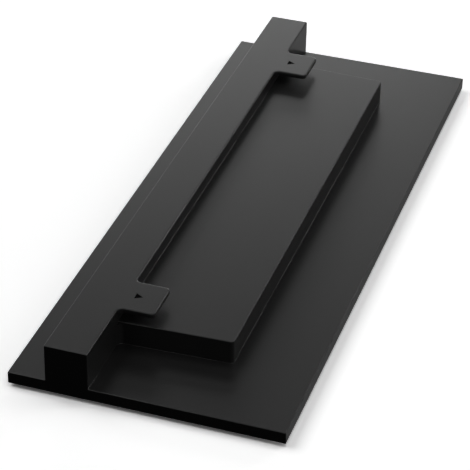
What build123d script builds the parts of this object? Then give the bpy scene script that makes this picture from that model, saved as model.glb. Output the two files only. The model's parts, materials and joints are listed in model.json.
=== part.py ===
# A stand that holds a slim games console upright: one black plastic moulding on four rubber feet.
# Millimetres, +Z up. X runs across the stand, from the rail's side to the open side, and Y along it.
# The origin is on the surface that the feet stand on, under the middle of the plate.
from build123d import *
from math import ceil
import os

# Plate
stand_length = 230.0
plate_thickness = 4.0
rail_margin = 12.5  # from the plate's edge to the rail
open_margin = 25.6  # from the platform to the plate's other edge

# Rail, platform and tabs
rail_width = 14.2
platform_width = 37.6
platform_height = 8.2  # above the plate
platform_end_gap = 25.7  # from the plate's end to the platform's, beside the rail
platform_end_slant = 1.6  # the platform is shorter by this, at each end, on its open side
slot_height = 3.4  # between the platform and a tab
tab_thickness = 1.5
tab_width = 15.4
tab_reach = 11.8  # out from the rail
tab_end_gap = 26.3  # from the plate's end to the nearer tab

# Triangle marks sunk into the tabs, which point to the tabs' tips
mark_setback = 2.7  # from the rail to a mark's base
mark_length = 2.7
mark_width = 3.0
mark_depth = 0.5

# Rounded corners, seen from above
tab_tip_radius = 1.5
tab_root_radius = 2.0
platform_corner_radius = 1.2
platform_root_radius = 2.0

# Rounded edges
edge_radius = 0.3
tab_edge_radius = 0.5  # round the tabs, and along the rail between them
base_radius = 0.1

# Hollow underside
wall = 2.2
rib = 1.4
rib_pitch = 23.0  # no pocket is longer than this
rib_setback = 0.6  # the ribs stop short of the rim by this

# Feet
foot_diameter = 9.0
foot_thickness = 2.2
foot_recess = 0.8
foot_clearance = 0.1  # all round, in its recess
foot_margin = 3.5  # from a foot to the plate's edges
foot_chamfer = 0.4
boss_wall = 1.5  # around a foot's recess

# Places worked out from the sizes above
stand_width = rail_margin + rail_width + platform_width + open_margin
half_length = stand_length / 2
half_width = stand_width / 2

rail_height = platform_height + slot_height + tab_thickness
rim_z = foot_thickness - foot_recess
plate_z = rim_z + plate_thickness
platform_z = plate_z + platform_height
rail_z = plate_z + rail_height

rail_outer_x = -half_width + rail_margin
rail_inner_x = rail_outer_x + rail_width
rail_centre_x = rail_outer_x + rail_width / 2
platform_x = rail_inner_x + platform_width
platform_centre_x = rail_inner_x + platform_width / 2

platform_end_y = half_length - platform_end_gap
platform_short_end_y = platform_end_y - platform_end_slant
tab_y = half_length - tab_end_gap - tab_width / 2

corner_web_height = platform_height - 2 * edge_radius
foot_x = half_width - foot_margin - foot_diameter / 2
foot_y = half_length - foot_margin - foot_diameter / 2
boss_radius = foot_diameter / 2 + foot_clearance + boss_wall
near = 0.01  # how close a place has to be, to choose an edge or a corner by it

# The platform's outline starts inside the rail, so that the two join.
platform_outline = [
    (rail_centre_x, -platform_end_y),
    (rail_inner_x, -platform_end_y),
    (platform_x, -platform_short_end_y),
    (platform_x, platform_short_end_y),
    (rail_inner_x, platform_end_y),
    (rail_centre_x, platform_end_y),
]


def inner_corners(sketch):
    """Corners of an outline that lie on the rail's inner wall, between its two ends."""
    on_wall = sketch.vertices().filter_by_position(Axis.X, rail_inner_x - near, rail_inner_x + near)
    return on_wall.sort_by(Axis.Y)[1:-1]


def is_base_edge(edge):
    """True for an edge where the rail or the platform rises from the plate."""
    place = edge.center()
    inside = abs(place.X) < half_width - near and abs(place.Y) < half_length - near
    return inside and abs(place.Z - plate_z) < near


def is_tab_edge(edge):
    """True for a top edge of the tabs, or of the rail's inner wall."""
    place = edge.center()
    return abs(place.Z - rail_z) < near and place.X > rail_inner_x - near


def is_outer_edge(edge):
    """True for an edge of an end face, or a top edge of the plate's sides or the rail's outer wall."""
    place = edge.center()
    on_end = abs(abs(place.Y) - half_length) < near and place.Z > rim_z + near
    on_side = abs(abs(place.X) - half_width) < near and abs(place.Z - plate_z) < near
    on_rail = abs(place.X - rail_outer_x) < near and abs(place.Z - rail_z) < near
    return on_end or on_side or on_rail


def pocket_spans(start, end):
    """Equal spans for a run of pockets from start to end, with a rib between neighbours."""
    count = ceil((end - start) / rib_pitch)
    size = (end - start - (count - 1) * rib) / count
    return [(start + index * (size + rib), start + index * (size + rib) + size) for index in range(count)]


def pocket_column(column, rows):
    """Draw one column of equal pockets, in the sketch that is open."""
    left, right = column
    front, back = rows[0]
    centres = [((left + right) / 2, (start + end) / 2) for start, end in rows]
    with Locations(*centres):
        Rectangle(right - left, back - front)


# Stand body
with BuildPart() as stand_body:
    # Plate
    with BuildSketch(Plane.XY.offset(rim_z)):
        Rectangle(stand_width, stand_length)
    extrude(amount=plate_thickness)

    # Platform, with its top edge rounded on the three sides that stay free
    with BuildSketch(Plane.XY.offset(plate_z)) as platform_sketch:
        Polygon(*platform_outline, align=None)
        fillet(platform_sketch.vertices().group_by(Axis.X)[-1], platform_corner_radius)
    extrude(amount=platform_height)
    platform_top = stand_body.faces().sort_by(Axis.Z)[-1]
    fillet(platform_top.edges().sort_by(Axis.X)[1:], edge_radius)

    # Rail and platform together, up to where the rounded corners between them stop
    with BuildSketch(Plane.XY.offset(plate_z)) as footing_sketch:
        with Locations((rail_centre_x, 0)):
            Rectangle(rail_width, stand_length)
        Polygon(*platform_outline, align=None)
        fillet(footing_sketch.vertices().group_by(Axis.X)[-1], platform_corner_radius)
        fillet(inner_corners(footing_sketch), platform_root_radius)
    extrude(amount=corner_web_height)

    # Rail
    with BuildSketch(Plane.XY.offset(plate_z)):
        with Locations((rail_centre_x, 0)):
            Rectangle(rail_width, stand_length)
    extrude(amount=rail_height)

    # Cove where the rail rises from the platform, which ends under the tabs
    with BuildSketch(Plane.XZ) as cove_sketch:
        Polygon(
            (rail_centre_x, plate_z),
            (platform_centre_x, plate_z),
            (platform_centre_x, platform_z),
            (rail_inner_x, platform_z),
            (rail_inner_x, platform_z + 2 * base_radius),
            (rail_centre_x, platform_z + 2 * base_radius),
            align=None,
        )
        fillet(cove_sketch.vertices().sort_by_distance((rail_inner_x, platform_z))[0], base_radius)
    extrude(amount=tab_y, both=True)

    # Top of the rail, with the two tabs
    with BuildSketch(Plane.XY.offset(rail_z)) as tab_sketch:
        with Locations((rail_centre_x, 0)):
            Rectangle(rail_width, stand_length)
        with Locations((rail_inner_x, -tab_y), (rail_inner_x, tab_y)):
            Rectangle(tab_reach, tab_width, align=(Align.MIN, Align.CENTER))
        fillet(tab_sketch.vertices().group_by(Axis.X)[-1], tab_tip_radius)
        fillet(inner_corners(tab_sketch), tab_root_radius)
    extrude(amount=-tab_thickness)

    # Rounded edges
    fillet(stand_body.edges().filter_by(is_tab_edge), tab_edge_radius)
    fillet(stand_body.edges().filter_by(is_base_edge), base_radius)
    fillet(stand_body.edges().filter_by(is_outer_edge), edge_radius)

    # Triangle marks
    with BuildSketch(Plane.XY.offset(rail_z)):
        with Locations((rail_inner_x + mark_setback, -tab_y), (rail_inner_x + mark_setback, tab_y)):
            Polygon((0, -mark_width / 2), (mark_length, 0), (0, mark_width / 2), align=None)
    extrude(amount=-mark_depth, mode=Mode.SUBTRACT)

    # Pockets: the walls and ribs between them reach down from the rail's and the platform's sides
    end_row = (platform_end_y, half_length - wall)
    end_rows = [end_row, (-end_row[1], -end_row[0])]
    middle_rows = pocket_spans(-platform_short_end_y + wall, platform_short_end_y - wall)
    margin_columns = [(-half_width + wall, rail_outer_x), (platform_x, half_width - wall)]
    rail_column = (rail_outer_x + wall, rail_inner_x - wall)
    platform_columns = pocket_spans(rail_inner_x, platform_x - wall)

    with BuildSketch(Plane.XY.offset(rim_z)):
        for column in margin_columns:
            pocket_column(column, end_rows)
            pocket_column(column, middle_rows)
        for column in platform_columns:
            pocket_column(column, end_rows)
    extrude(amount=plate_thickness - wall, mode=Mode.SUBTRACT)
    with BuildSketch(Plane.XY.offset(rim_z)):
        for column in platform_columns:
            pocket_column(column, middle_rows)
    extrude(amount=plate_thickness + platform_height - wall, mode=Mode.SUBTRACT)
    with BuildSketch(Plane.XY.offset(rim_z)):
        pocket_column(rail_column, end_rows)
        pocket_column(rail_column, middle_rows)
    extrude(amount=plate_thickness + rail_height - wall, mode=Mode.SUBTRACT)

    # Ribs cut back from the rim
    with BuildSketch(Plane.XY.offset(rim_z)):
        Rectangle(stand_width - 2 * wall, stand_length - 2 * wall)
    extrude(amount=rib_setback, mode=Mode.SUBTRACT)

    # Bosses for the feet, and the recesses in them
    with BuildSketch(Plane.XY.offset(rim_z)):
        with GridLocations(2 * foot_x, 2 * foot_y, 2, 2):
            Circle(boss_radius)
    extrude(amount=plate_thickness - wall / 2)
    with BuildSketch(Plane.XY.offset(rim_z)):
        with GridLocations(2 * foot_x, 2 * foot_y, 2, 2):
            Circle(foot_diameter / 2 + foot_clearance)
    extrude(amount=foot_recess, mode=Mode.SUBTRACT)

os.makedirs("parts", exist_ok=True)
stand_body.part.label = "stand_body"
export_step(stand_body.part, "parts/stand_body.step")

# Feet, each seated against the top of its recess
foot_places = {
    "foot_front_left": (-foot_x, -foot_y),
    "foot_front_right": (foot_x, -foot_y),
    "foot_rear_left": (-foot_x, foot_y),
    "foot_rear_right": (foot_x, foot_y),
}
for foot_name, foot_place in foot_places.items():
    with BuildPart() as foot:
        with BuildSketch():
            with Locations(foot_place):
                Circle(foot_diameter / 2)
        extrude(amount=foot_thickness)
        chamfer(foot.faces().sort_by(Axis.Z)[0].edges(), foot_chamfer)
    foot.part.label = foot_name
    export_step(foot.part, f"parts/{foot_name}.step")
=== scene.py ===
"""Dresses a console vertical stand: one black ABS moulding on rubber feet, on a white studio floor.

Everything is in metres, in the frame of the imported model: +Z up, Y along the stand, and X across it,
from the rail's side to the open side.
"""

import json
import logging
import math
from dataclasses import dataclass
from enum import Enum
from typing import Any

import bmesh
import bpy
from mathutils import Matrix, Quaternion, Vector


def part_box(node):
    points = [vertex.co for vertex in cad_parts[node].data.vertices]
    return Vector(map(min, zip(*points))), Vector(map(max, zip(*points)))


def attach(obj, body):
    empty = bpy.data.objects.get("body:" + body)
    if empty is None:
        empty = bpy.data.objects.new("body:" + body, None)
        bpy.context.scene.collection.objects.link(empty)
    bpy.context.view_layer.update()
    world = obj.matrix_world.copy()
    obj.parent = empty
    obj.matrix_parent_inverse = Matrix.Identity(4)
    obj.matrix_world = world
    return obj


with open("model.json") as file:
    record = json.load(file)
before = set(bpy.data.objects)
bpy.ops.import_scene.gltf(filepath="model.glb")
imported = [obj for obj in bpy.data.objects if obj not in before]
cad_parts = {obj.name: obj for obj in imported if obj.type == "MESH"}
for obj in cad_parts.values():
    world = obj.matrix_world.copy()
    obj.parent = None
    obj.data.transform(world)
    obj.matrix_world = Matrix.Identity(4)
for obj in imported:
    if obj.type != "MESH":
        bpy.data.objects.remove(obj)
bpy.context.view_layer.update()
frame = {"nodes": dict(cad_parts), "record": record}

LOG = logging.getLogger("console_stand")
MM = 0.001
ROOT_BODY = "root"
WHITE = "#ffffff"

# A Mix node names its sockets alike for every data type, so its two colours and their mix go by number.
FIRST_COLOUR = 6
SECOND_COLOUR = 7
MIXED_COLOUR = 2


class Node(Enum):
    """The CAD nodes that the scene dresses."""

    BODY = "stand_body"
    FRONT_LEFT_FOOT = "foot_front_left"
    FRONT_RIGHT_FOOT = "foot_front_right"
    REAR_LEFT_FOOT = "foot_rear_left"
    REAR_RIGHT_FOOT = "foot_rear_right"


def linear(colour: str) -> tuple[float, float, float, float]:
    """Turn an sRGB hex colour into a linear RGBA value.

    Args:
        colour: A colour such as "#1a1b1d".

    Returns:
        The linear red, green and blue, with an alpha of 1.
    """
    channels = [int(colour[start:start + 2], 16) / 255 for start in (1, 3, 5)]
    curved = [c / 12.92 if c <= 0.04045 else ((c + 0.055) / 1.055) ** 2.4 for c in channels]
    return (*curved, 1.0)


def per_metre(size_mm: float) -> float:
    """Give the texture scale at which one feature of a pattern measures size_mm."""
    return 1.0 / (size_mm * MM)


def add_node(
    tree: bpy.types.NodeTree, kind: str, inputs: dict[str | int, Any], **settings: Any
) -> bpy.types.Node:
    """Add a shader node, with its settings, values and links.

    Args:
        tree: The node tree that it joins.
        kind: The node's type, such as "ShaderNodeTexNoise".
        inputs: Values or output sockets, by the name or number of the input that each goes to.
        settings: Properties of the node itself.

    Returns:
        The new node.
    """
    node = tree.nodes.new(kind)
    for name, value in settings.items():
        setattr(node, name, value)
    for name, value in inputs.items():
        if isinstance(value, bpy.types.NodeSocket):
            tree.links.new(value, node.inputs[name])
        else:
            node.inputs[name].default_value = value
    return node


def empty_material(name: str) -> tuple[bpy.types.Material, bpy.types.NodeTree]:
    """Make a material with no nodes.

    Args:
        name: The material's name.

    Returns:
        The material and its node tree.
    """
    material = bpy.data.materials.new(name)
    material.use_nodes = True
    material.node_tree.nodes.clear()
    return material, material.node_tree


@dataclass(frozen=True)
class MouldedAbs:
    """Black ABS, injection moulded in a spark-eroded tool.

    The tool's fine pits leave an even satin grain: it dulls what the plastic mirrors to a soft sheen,
    and keeps the colour a deep, neutral black.
    """

    name: str = "black ABS, spark-eroded grain"
    colour: str = "#131313"
    flow_colour: str = "#161616"
    ior: float = 1.54
    roughness: float = 0.3
    roughness_spread: float = 0.04
    # The real pits are about 0.05 mm, too fine to show, so they are drawn coarser.
    grain_mm: float = 0.3
    grain_depth_mm: float = 0.012
    grain_strength: float = 0.5
    grain_detail: float = 2.0
    flow_mm: float = 38.0
    flow_detail: float = 3.0

    def material(self) -> bpy.types.Material:
        """Make the material, with its grain and the faint clouds that the melt's flow leaves.

        Returns:
            The material.
        """
        material, tree = empty_material(self.name)
        place = add_node(tree, "ShaderNodeTexCoord", {}).outputs["Object"]
        grain = add_node(tree, "ShaderNodeTexNoise", {
            "Vector": place, "Scale": per_metre(self.grain_mm), "Detail": self.grain_detail})
        flow = add_node(tree, "ShaderNodeTexNoise", {
            "Vector": place, "Scale": per_metre(self.flow_mm), "Detail": self.flow_detail})
        colour = add_node(tree, "ShaderNodeMix", {
            "Factor": flow.outputs["Fac"],
            FIRST_COLOUR: linear(self.colour),
            SECOND_COLOUR: linear(self.flow_colour)},
            data_type="RGBA")
        roughness = add_node(tree, "ShaderNodeMapRange", {
            "Value": grain.outputs["Fac"],
            "To Min": self.roughness - self.roughness_spread,
            "To Max": self.roughness + self.roughness_spread})
        bump = add_node(tree, "ShaderNodeBump", {
            "Height": grain.outputs["Fac"], "Strength": self.grain_strength,
            "Distance": self.grain_depth_mm * MM})
        shader = add_node(tree, "ShaderNodeBsdfPrincipled", {
            "Base Color": colour.outputs[MIXED_COLOUR], "Roughness": roughness.outputs["Result"],
            "Normal": bump.outputs["Normal"], "IOR": self.ior})
        add_node(tree, "ShaderNodeOutputMaterial", {"Surface": shader.outputs["BSDF"]})
        return material


@dataclass(frozen=True)
class FootRubber:
    """Black silicone rubber, die cut from sheet: dead matt, with a little dust held in its pores."""

    name: str = "black rubber, die cut"
    colour: str = "#1b1b1b"
    dust_colour: str = "#262524"
    roughness: float = 0.8
    pore_mm: float = 0.5
    pore_depth_mm: float = 0.02
    dust_mm: float = 3.0

    def material(self) -> bpy.types.Material:
        """Make the material, with its pores and its dust.

        Returns:
            The material.
        """
        material, tree = empty_material(self.name)
        place = add_node(tree, "ShaderNodeTexCoord", {}).outputs["Object"]
        pores = add_node(tree, "ShaderNodeTexNoise", {
            "Vector": place, "Scale": per_metre(self.pore_mm)})
        dust = add_node(tree, "ShaderNodeTexNoise", {
            "Vector": place, "Scale": per_metre(self.dust_mm)})
        colour = add_node(tree, "ShaderNodeMix", {
            "Factor": dust.outputs["Fac"],
            FIRST_COLOUR: linear(self.colour),
            SECOND_COLOUR: linear(self.dust_colour)},
            data_type="RGBA")
        bump = add_node(tree, "ShaderNodeBump", {
            "Height": pores.outputs["Fac"], "Distance": self.pore_depth_mm * MM})
        shader = add_node(tree, "ShaderNodeBsdfPrincipled", {
            "Base Color": colour.outputs[MIXED_COLOUR], "Roughness": self.roughness,
            "Normal": bump.outputs["Normal"]})
        add_node(tree, "ShaderNodeOutputMaterial", {"Surface": shader.outputs["BSDF"]})
        return material


@dataclass(frozen=True)
class MarkPaint:
    """Black acrylic paint, wiped into the marks on the tabs.

    It dries dead matt, so the marks stay solid black where the plastic round them has its sheen.
    """

    name: str = "black acrylic paint, wiped in"
    colour: str = "#030303"
    speck_colour: str = "#070707"
    roughness: float = 0.95
    specular: float = 0.03
    speck_mm: float = 0.15
    speck_depth_mm: float = 0.01

    def material(self) -> bpy.types.Material:
        """Make the material, with the fine specks that its pigment leaves.

        Returns:
            The material.
        """
        material, tree = empty_material(self.name)
        place = add_node(tree, "ShaderNodeTexCoord", {}).outputs["Object"]
        specks = add_node(tree, "ShaderNodeTexNoise", {
            "Vector": place, "Scale": per_metre(self.speck_mm)})
        colour = add_node(tree, "ShaderNodeMix", {
            "Factor": specks.outputs["Fac"],
            FIRST_COLOUR: linear(self.colour),
            SECOND_COLOUR: linear(self.speck_colour)},
            data_type="RGBA")
        bump = add_node(tree, "ShaderNodeBump", {
            "Height": specks.outputs["Fac"], "Distance": self.speck_depth_mm * MM})
        shader = add_node(tree, "ShaderNodeBsdfPrincipled", {
            "Base Color": colour.outputs[MIXED_COLOUR], "Roughness": self.roughness,
            "Specular IOR Level": self.specular, "Normal": bump.outputs["Normal"]})
        add_node(tree, "ShaderNodeOutputMaterial", {"Surface": shader.outputs["BSDF"]})
        return material


@dataclass(frozen=True)
class StudioFloor:
    """Smooth white studio card, with a black card laid on it in front of the stand.

    The black card keeps the stand's front faces black, as the photograph shows them. Lamps that suit
    black plastic leave the white card grey, so the camera alone sees all of the floor brighter, by as
    much as makes it white, and the stand's shadow stays in it. The stand has no metal or glass to
    mirror that white.
    """

    name: str = "white studio card"
    card_colour: str = "#a0a0a0"
    black_colour: str = "#0c0c0c"
    black_edge: float = -112 * MM
    black_blend: float = 4 * MM
    camera_gain: float = 1.5

    def material(self) -> bpy.types.Material:
        """Make the material, white to the camera and card to everything else.

        Returns:
            The material.
        """
        material, tree = empty_material(self.name)
        place = add_node(tree, "ShaderNodeTexCoord", {}).outputs["Object"]
        along = add_node(tree, "ShaderNodeSeparateXYZ", {"Vector": place}).outputs["Y"]
        behind = add_node(tree, "ShaderNodeMapRange", {
            "Value": along,
            "From Min": self.black_edge - self.black_blend / 2,
            "From Max": self.black_edge + self.black_blend / 2},
            interpolation_type="SMOOTHSTEP")
        cards = add_node(tree, "ShaderNodeMix", {
            "Factor": behind.outputs["Result"],
            FIRST_COLOUR: linear(self.black_colour),
            SECOND_COLOUR: linear(self.card_colour)},
            data_type="RGBA")
        ray = add_node(tree, "ShaderNodeLightPath", {}).outputs["Is Camera Ray"]
        white = (self.camera_gain, self.camera_gain, self.camera_gain, 1.0)
        colour = add_node(tree, "ShaderNodeMix", {
            "Factor": ray,
            FIRST_COLOUR: cards.outputs[MIXED_COLOUR],
            SECOND_COLOUR: white},
            data_type="RGBA")
        card = add_node(tree, "ShaderNodeBsdfDiffuse", {"Color": colour.outputs[MIXED_COLOUR]})
        add_node(tree, "ShaderNodeOutputMaterial", {"Surface": card.outputs["BSDF"]})
        return material


def dress(node: Node, material: bpy.types.Material) -> None:
    """Put a finish on a CAD node's object.

    Args:
        node: The node to dress.
        material: Its finish.
    """
    shown = frame["nodes"][node.value]
    for slot in shown.material_slots:
        slot.material = material
    LOG.info("%s wears %s", node.value, material.name)


@dataclass
class StandMoulding:
    """The moulding: plate, rail, platform and tabs."""

    finish: MouldedAbs = MouldedAbs()

    def build(self) -> None:
        """Dress the moulding."""
        dress(Node.BODY, self.finish.material())


@dataclass
class RubberFeet:
    """The four feet in their recesses under the plate."""

    finish: FootRubber = FootRubber()

    def build(self) -> None:
        """Dress the feet."""
        material = self.finish.material()
        for node in Node:
            if node is not Node.BODY:
                dress(node, material)


@dataclass
class TabMarks:
    """The paint that fills the triangular mark on each tab.

    It is a hair smaller than its recess, stops just below the tab's top and sags towards its middle.
    """

    # From the middle of a tab's slot back to the base of its mark
    setback: float = 3.2 * MM
    length: float = 2.7 * MM
    width: float = 3.0 * MM
    depth: float = 0.5 * MM
    clearance: float = 0.02 * MM
    below_top: float = 0.1 * MM
    rim: float = 0.16 * MM
    sag: float = 0.04 * MM
    sag_steps: int = 2
    finish: MarkPaint = MarkPaint()

    def base(self, shape: bmesh.types.BMesh) -> bmesh.types.BMFace:
        """Draw the mark's outline, with its base on the Y axis and its point towards +X.

        Args:
            shape: The mesh that it joins.

        Returns:
            The triangle, smaller all round than the mark by the clearance.
        """
        corners = [(0.0, -self.width / 2, 0.0), (self.length, 0.0, 0.0), (0.0, self.width / 2, 0.0)]
        verts = [shape.verts.new(corner) for corner in corners]
        face = bmesh.ops.contextual_create(shape, geom=verts)["faces"][0]
        slope = math.hypot(self.length, self.width / 2)
        inner_radius = self.width * self.length / (self.width + 2 * slope)
        scale = 1.0 - self.clearance / inner_radius
        centred = Matrix.Translation((-inner_radius, 0.0, 0.0))
        bmesh.ops.scale(shape, vec=(scale, scale, 1.0), space=centred, verts=verts)
        return face

    def fill(self, name: str, slot_place: list[float], top_z: float) -> bpy.types.Object:
        """Fill one mark.

        Args:
            name: The name of the new piece.
            slot_place: The middle of the slot under the tab.
            top_z: The height of the tab's top.

        Returns:
            The piece, in its place.
        """
        shape = bmesh.new()
        base = self.base(shape)
        grown = bmesh.ops.extrude_face_region(shape, geom=[base])["geom"]
        risen = [part for part in grown if isinstance(part, bmesh.types.BMVert)]
        top = [part for part in grown if isinstance(part, bmesh.types.BMFace)]
        height = self.depth - self.clearance - self.below_top
        bmesh.ops.translate(shape, verts=risen, vec=(0.0, 0.0, height))
        bmesh.ops.recalc_face_normals(shape, faces=shape.faces)
        for _ in range(self.sag_steps):
            bmesh.ops.inset_region(
                shape, faces=top, thickness=self.rim, depth=-self.sag, use_even_offset=True)
        slot_x, slot_y, _ = slot_place
        low = Vector((slot_x - self.setback, slot_y, top_z - self.depth + self.clearance))
        bmesh.ops.translate(shape, verts=shape.verts, vec=low)
        bmesh.ops.recalc_face_normals(shape, faces=shape.faces)
        mesh = bpy.data.meshes.new(name)
        shape.to_mesh(mesh)
        shape.free()
        piece = bpy.data.objects.new(name, mesh)
        bpy.context.scene.collection.objects.link(piece)
        return piece

    def build(self) -> None:
        """Fill both marks and dress them."""
        material = self.finish.material()
        places = {mount["name"]: mount["pos_m"] for mount in frame["record"]["mounts"]}
        _, (_, _, top_z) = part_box(Node.BODY.value)
        for end in ("front", "rear"):
            piece = self.fill(f"{end}_tab_mark_paint", places[f"{end}_tab_slot"], top_z)
            piece.data.materials.append(material)
            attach(piece, ROOT_BODY)
            LOG.info("%s wears %s", piece.name, material.name)


def direction(azimuth: float, elevation: float) -> Vector:
    """Give the way from the stand to a place round it.

    Args:
        azimuth: Degrees round from the front, -Y, towards +X.
        elevation: Degrees above the floor.

    Returns:
        The unit vector to that place.
    """
    turn = math.radians(azimuth)
    rise = math.radians(elevation)
    return Vector((math.cos(rise) * math.sin(turn), -math.cos(rise) * math.cos(turn), math.sin(rise)))


@dataclass
class SoftBox:
    """A rectangular studio lamp that faces the stand.

    Its azimuth and elevation are in degrees, as in direction, and a radiance of 1 looks white. A lamp
    that isn't mirrored lights the stand, but the plastic's gloss doesn't show it.
    """

    name: str
    azimuth: float
    elevation: float
    width: float
    height: float
    radiance: float
    distance: float = 1.5
    mirrored: bool = True

    def build(self) -> None:
        """Make the lamp."""
        lamp = bpy.data.lights.new(self.name, "AREA")
        lamp.shape = "RECTANGLE"
        lamp.size = self.width
        lamp.size_y = self.height
        lamp.energy = self.radiance * math.pi * self.width * self.height
        away = direction(self.azimuth, self.elevation)
        placed = bpy.data.objects.new(self.name, lamp)
        placed.location = away * self.distance
        placed.rotation_mode = "QUATERNION"
        placed.rotation_quaternion = (-away).to_track_quat("-Z", "Y")
        placed.visible_camera = False
        placed.visible_glossy = self.mirrored
        bpy.context.scene.collection.objects.link(placed)


@dataclass
class Studio:
    """The floor, the surroundings and the lamps."""

    floor_size: float = 6.0
    surround_grey: float = 0.02
    # The back boxes give the tops their sheen, and the front box does so when they are seen from behind.
    # The edge strip draws the edges, and the right box lights the walls. In each row: azimuth, elevation,
    # width, height and radiance.
    lamps: tuple[SoftBox, ...] = (
        SoftBox("low back box", 201.0, 10.5, 0.75, 0.2, 5.8),
        SoftBox("back box", 202.0, 24.0, 0.75, 0.34, 1.2),
        SoftBox("high back box", 200.0, 44.0, 0.8, 0.4, 0.24),
        SoftBox("low middle box", 179.0, 7.0, 0.4, 0.26, 4.0),
        SoftBox("low left box", 225.0, 5.0, 0.3, 0.15, 3.8),
        SoftBox("edge strip", 146.0, 20.0, 0.18, 0.3, 11.5),
        SoftBox("right box", 77.0, 9.0, 0.6, 0.4, 11.0, mirrored=False),
        SoftBox("high right box", 120.0, 42.0, 0.5, 0.5, 2.4),
        SoftBox("left box", 272.0, 53.0, 1.1, 1.0, 2.5),
        SoftBox("overhead box", 90.0, 78.0, 1.3, 0.9, 1.65),
        SoftBox("front box", 12.0, 20.0, 2.4, 0.6, 0.3),
    )

    def floor(self) -> None:
        """Lay the floor that the stand rests on."""
        mesh = bpy.data.meshes.new("floor")
        shape = bmesh.new()
        bmesh.ops.create_grid(shape, x_segments=1, y_segments=1, size=self.floor_size / 2)
        shape.to_mesh(mesh)
        shape.free()
        laid = bpy.data.objects.new("floor", mesh)
        mesh.materials.append(StudioFloor().material())
        bpy.context.scene.collection.objects.link(laid)

    def surroundings(self) -> None:
        """Make the world, white to the camera and dim to the stand."""
        world = bpy.data.worlds.new("studio")
        bpy.context.scene.world = world
        world.use_nodes = True
        tree = world.node_tree
        tree.nodes.clear()
        ray = add_node(tree, "ShaderNodeLightPath", {})
        dim = (self.surround_grey, self.surround_grey, self.surround_grey, 1.0)
        colour = add_node(tree, "ShaderNodeMix", {
            "Factor": ray.outputs["Is Camera Ray"],
            FIRST_COLOUR: dim,
            SECOND_COLOUR: linear(WHITE)},
            data_type="RGBA")
        shader = add_node(tree, "ShaderNodeBackground", {"Color": colour.outputs[MIXED_COLOUR]})
        add_node(tree, "ShaderNodeOutputWorld", {"Surface": shader.outputs["Background"]})

    def build(self) -> None:
        """Set up the whole studio."""
        self.floor()
        self.surroundings()
        for lamp in self.lamps:
            lamp.build()
        bpy.context.scene.view_settings.view_transform = "Standard"


@dataclass
class PhotoCamera:
    """The camera, where the photograph's stood, with its angles in degrees."""

    aim: tuple[float, float, float] = (-3.2 * MM, -18.45 * MM, 5.3 * MM)
    azimuth: float = 17.85
    elevation: float = 33.37
    roll: float = 1.05
    distance: float = 703.2 * MM
    field_of_view: float = 12.953
    clip_start: float = 10 * MM

    def build(self) -> None:
        """Make the camera and give it to the scene."""
        lens = bpy.data.cameras.new("photo camera")
        lens.sensor_fit = "HORIZONTAL"
        lens.angle = math.radians(self.field_of_view)
        lens.clip_start = self.clip_start
        away = direction(self.azimuth, self.elevation)
        placed = bpy.data.objects.new("photo camera", lens)
        placed.location = Vector(self.aim) + away * self.distance
        placed.rotation_mode = "QUATERNION"
        level = (-away).to_track_quat("-Z", "Y")
        placed.rotation_quaternion = level @ Quaternion((0.0, 0.0, 1.0), math.radians(self.roll))
        bpy.context.scene.collection.objects.link(placed)
        bpy.context.scene.camera = placed


def main() -> None:
    """Dress the stand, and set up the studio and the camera."""
    logging.basicConfig(level=logging.INFO, format="%(name)s: %(message)s")
    StandMoulding().build()
    RubberFeet().build()
    TabMarks().build()
    Studio().build()
    PhotoCamera().build()


if __name__ == "__main__":
    main()
